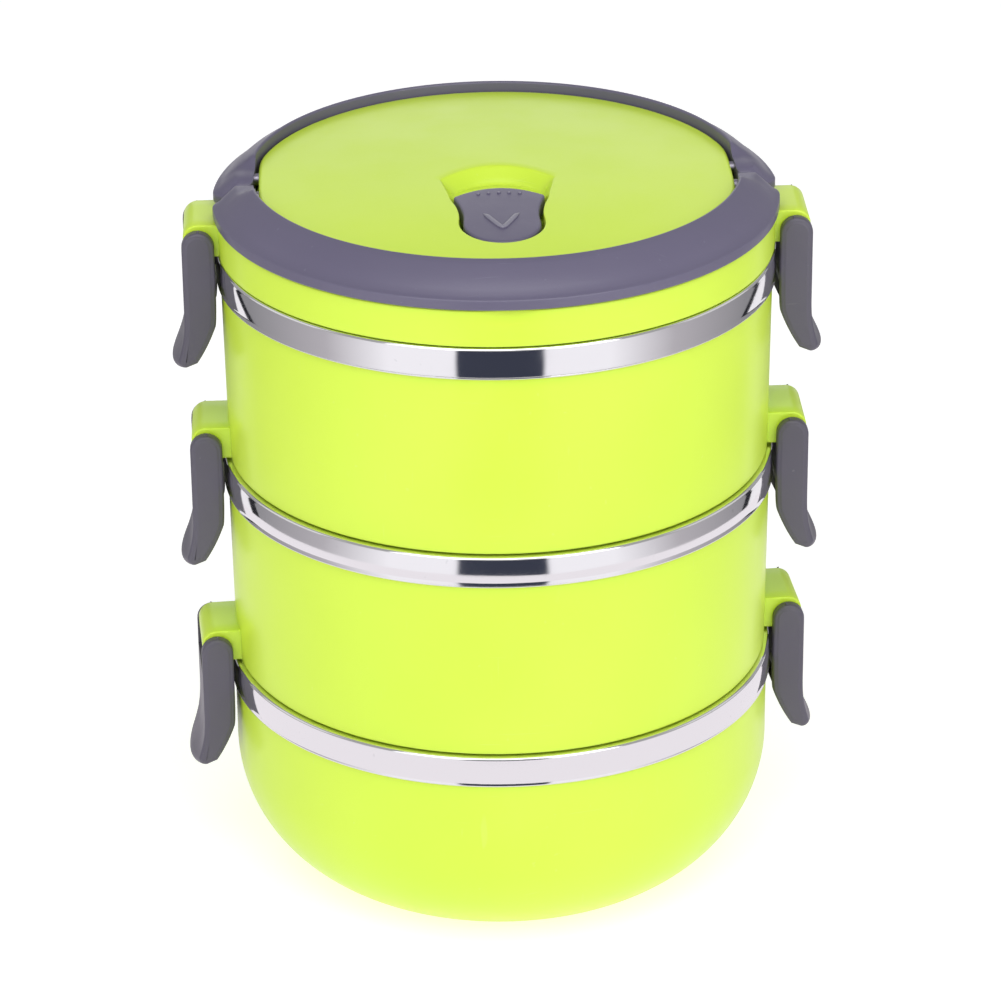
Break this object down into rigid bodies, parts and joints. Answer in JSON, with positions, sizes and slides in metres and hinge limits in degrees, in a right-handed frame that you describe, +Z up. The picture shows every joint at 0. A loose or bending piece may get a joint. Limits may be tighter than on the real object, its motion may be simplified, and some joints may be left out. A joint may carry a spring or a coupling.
{
  "type": "tiffin carrier",
  "caption": "Round stacking food carrier with steel-rimmed bowls, side clips, and a lid with two folding half-ring handles and a rocking steam vent.",
  "frame": {"origin": "centre of the foot's underside, on the axis of the stack", "axes": "+Z up the stack, -Y towards the front where the vent button is, +X to the right-hand clips"},
  "size_m": [0.1684, 0.145, 0.1935],
  "materials": {
    "lime_plastic": "smooth satin moulding",
    "grey_plastic": "satin moulding",
    "clip_plastic": "satin moulding",
    "inner_plastic": "smooth moulding",
    "polished_steel": "mirror-polished stainless steel",
    "pin_steel": "drawn wire",
    "silicone": "matt translucent silicone"
  },
  "bodies": {
    "bottom_tier": {"bottom_shell": "lime_plastic", "bottom_steel_bowl": "polished_steel"},
    "middle_tier": {"middle_shell": "lime_plastic", "middle_steel_bowl": "polished_steel", "middle_base_cover": "lime_plastic", "middle_seal_ring": "silicone"},
    "top_tier": {"top_shell": "lime_plastic", "top_steel_bowl": "polished_steel", "top_base_cover": "lime_plastic", "top_seal_ring": "silicone"},
    "lid": {"lid_cover": "lime_plastic", "lid_liner": "inner_plastic", "lid_seal_ring": "silicone", "handle_pin_front_left": "pin_steel", "handle_pin_front_right": "pin_steel", "handle_pin_rear_left": "pin_steel", "handle_pin_rear_right": "pin_steel"},
    "front_handle": {"handle_front": "grey_plastic"},
    "rear_handle": {"handle_rear": "grey_plastic"},
    "vent": {"vent_button": "grey_plastic", "vent_seal": "silicone"},
    "lid_left_clip": {"lid_clip_left": "clip_plastic"},
    "lid_right_clip": {"lid_clip_right": "clip_plastic"},
    "top_left_clip": {"top_clip_left": "clip_plastic"},
    "top_right_clip": {"top_clip_right": "clip_plastic"},
    "middle_left_clip": {"middle_clip_left": "clip_plastic"},
    "middle_right_clip": {"middle_clip_right": "clip_plastic"}
  },
  "joints": [
    {"name": "middle_tier_lift", "type": "slide", "parent": "bottom_tier", "child": "middle_tier", "axis": [0, 0, 1], "range_m": [0, 0.08]},
    {"name": "top_tier_lift", "type": "slide", "parent": "middle_tier", "child": "top_tier", "axis": [0, 0, 1], "range_m": [0, 0.08]},
    {"name": "lid_lift", "type": "slide", "parent": "top_tier", "child": "lid", "axis": [0, 0, 1], "range_m": [0, 0.08]},
    {"name": "front_handle_hinge", "type": "hinge", "parent": "lid", "child": "front_handle", "pos_m": [0, -0.0064, 0.1886], "axis": [-1, 0, 0], "range_deg": [0, 90]},
    {"name": "rear_handle_hinge", "type": "hinge", "parent": "lid", "child": "rear_handle", "pos_m": [0, 0.0064, 0.1886], "axis": [1, 0, 0], "range_deg": [0, 90]},
    {"name": "vent_rocker", "type": "hinge", "parent": "lid", "child": "vent", "pos_m": [0, -0.032, 0.19015], "axis": [1, 0, 0], "range_deg": [0, 10]},
    {"name": "lid_left_clip_hinge", "type": "hinge", "parent": "lid", "child": "lid_left_clip", "pos_m": [-0.07625, 0, 0.177], "axis": [0, 1, 0], "range_deg": [0, 110]},
    {"name": "lid_right_clip_hinge", "type": "hinge", "parent": "lid", "child": "lid_right_clip", "pos_m": [0.07625, 0, 0.177], "axis": [0, -1, 0], "range_deg": [0, 110]},
    {"name": "top_left_clip_hinge", "type": "hinge", "parent": "top_tier", "child": "top_left_clip", "pos_m": [-0.07625, 0, 0.1206], "axis": [0, 1, 0], "range_deg": [0, 110]},
    {"name": "top_right_clip_hinge", "type": "hinge", "parent": "top_tier", "child": "top_right_clip", "pos_m": [0.07625, 0, 0.1206], "axis": [0, -1, 0], "range_deg": [0, 110]},
    {"name": "middle_left_clip_hinge", "type": "hinge", "parent": "middle_tier", "child": "middle_left_clip", "pos_m": [-0.07606, -0.00532, 0.0642], "axis": [-0.0698, 0.9976, 0], "range_deg": [0, 110]},
    {"name": "middle_right_clip_hinge", "type": "hinge", "parent": "middle_tier", "child": "middle_right_clip", "pos_m": [0.07606, 0.00532, 0.0642], "axis": [0.0698, -0.9976, 0], "range_deg": [0, 110]}
  ]
}
